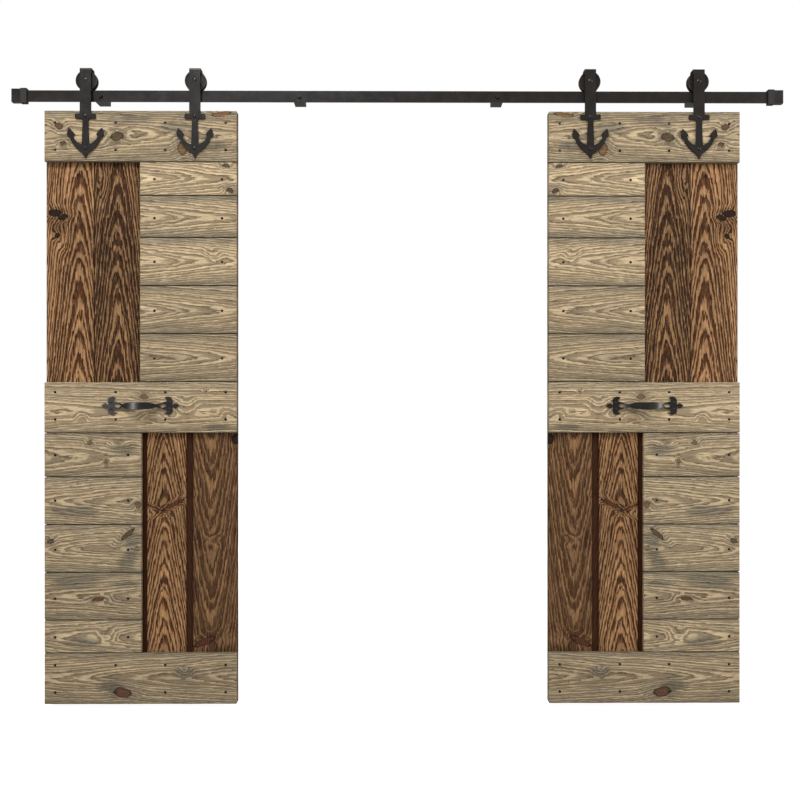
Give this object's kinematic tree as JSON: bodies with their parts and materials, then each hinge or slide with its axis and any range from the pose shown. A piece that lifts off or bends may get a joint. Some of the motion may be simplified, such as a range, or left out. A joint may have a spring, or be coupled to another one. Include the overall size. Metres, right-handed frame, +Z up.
{
  "type": "barn doors",
  "caption": "Sliding barn doors of light and dark boards on a flat wall rail, hung on grooved wheels and anchor-shaped strap hangers, with cast pull handles.",
  "frame": {"origin": "on the wall face, at the middle of the line of lag bolts", "axes": "+X along the rail to the right as seen from the room, +Y into the wall, +Z up"},
  "size_m": [2.784, 0.1275, 2.2872],
  "materials": {
    "light_wood": "wire-brushed weathered pine, matt",
    "dark_wood": "dark walnut-stained pine, matt",
    "black_steel": "dark bronze-black powder coat, semi-matt",
    "handle_iron": "black satin lacquer on cast iron",
    "nail_steel": "black oxide, satin",
    "bright_steel": "ground steel",
    "rubber": "dark rubber, matt"
  },
  "bodies": {
    "track": {"rail": "black_steel", "spacers": "black_steel", "lag_bolts": "black_steel", "end_stops": "black_steel", "stop_bumpers": "rubber", "stop_screws": "bright_steel"},
    "left_door": {"left_top_rail": "light_wood", "left_middle_rail": "light_wood", "left_bottom_rail": "light_wood", "left_upper_board_1": "light_wood", "left_upper_board_2": "light_wood", "left_upper_board_3": "light_wood", "left_upper_board_4": "light_wood", "left_upper_board_5": "light_wood", "left_lower_board_1": "light_wood", "left_lower_board_2": "light_wood", "left_lower_board_3": "light_wood", "left_lower_board_4": "light_wood", "left_lower_board_5": "light_wood", "left_back_board_1": "dark_wood", "left_back_board_2": "dark_wood", "left_back_board_3": "dark_wood", "left_back_board_4": "dark_wood", "left_nails": "nail_steel", "left_hanger_bolts": "black_steel", "left_handle": "handle_iron", "left_handle_screws": "handle_iron", "left_hanger_1": "black_steel", "left_hanger_2": "black_steel"},
    "right_door": {"right_top_rail": "light_wood", "right_middle_rail": "light_wood", "right_bottom_rail": "light_wood", "right_upper_board_1": "light_wood", "right_upper_board_2": "light_wood", "right_upper_board_3": "light_wood", "right_upper_board_4": "light_wood", "right_upper_board_5": "light_wood", "right_lower_board_1": "light_wood", "right_lower_board_2": "light_wood", "right_lower_board_3": "light_wood", "right_lower_board_4": "light_wood", "right_lower_board_5": "light_wood", "right_back_board_1": "dark_wood", "right_back_board_2": "dark_wood", "right_back_board_3": "dark_wood", "right_back_board_4": "dark_wood", "right_nails": "nail_steel", "right_hanger_bolts": "black_steel", "right_handle": "handle_iron", "right_handle_screws": "handle_iron", "right_hanger_1": "black_steel", "right_hanger_2": "black_steel"},
    "left_roller_1": {"left_wheel_1": "black_steel", "left_bearing_1": "bright_steel"},
    "left_roller_2": {"left_wheel_2": "black_steel", "left_bearing_2": "bright_steel"},
    "right_roller_1": {"right_wheel_1": "black_steel", "right_bearing_1": "bright_steel"},
    "right_roller_2": {"right_wheel_2": "black_steel", "right_bearing_2": "bright_steel"}
  },
  "joints": [
    {"name": "left_door_slide", "type": "slide", "parent": "track", "child": "left_door", "axis": [1, 0, 0], "range_m": [-0.187, 0.5805]},
    {"name": "right_door_slide", "type": "slide", "parent": "track", "child": "right_door", "axis": [1, 0, 0], "range_m": [-0.5415, 0.226]},
    {"name": "left_wheel_1_spin", "type": "hinge", "parent": "left_door", "child": "left_roller_1", "pos_m": [-1.123, -0.043, 0.0532], "axis": [0, 1, 0], "continuous": true},
    {"name": "left_wheel_2_spin", "type": "hinge", "parent": "left_door", "child": "left_roller_2", "pos_m": [-0.731, -0.043, 0.0532], "axis": [0, 1, 0], "continuous": true},
    {"name": "right_wheel_1_spin", "type": "hinge", "parent": "right_door", "child": "right_roller_1", "pos_m": [1.084, -0.043, 0.0532], "axis": [0, 1, 0], "continuous": true},
    {"name": "right_wheel_2_spin", "type": "hinge", "parent": "right_door", "child": "right_roller_2", "pos_m": [0.692, -0.043, 0.0532], "axis": [0, 1, 0], "continuous": true}
  ],
  "couplings": [
    {"joint": "left_wheel_1_spin", "follows": "left_door_slide", "rad_per_m": 30.303},
    {"joint": "left_wheel_2_spin", "follows": "left_door_slide", "rad_per_m": 30.303},
    {"joint": "right_wheel_1_spin", "follows": "right_door_slide", "rad_per_m": 30.303},
    {"joint": "right_wheel_2_spin", "follows": "right_door_slide", "rad_per_m": 30.303}
  ]
}
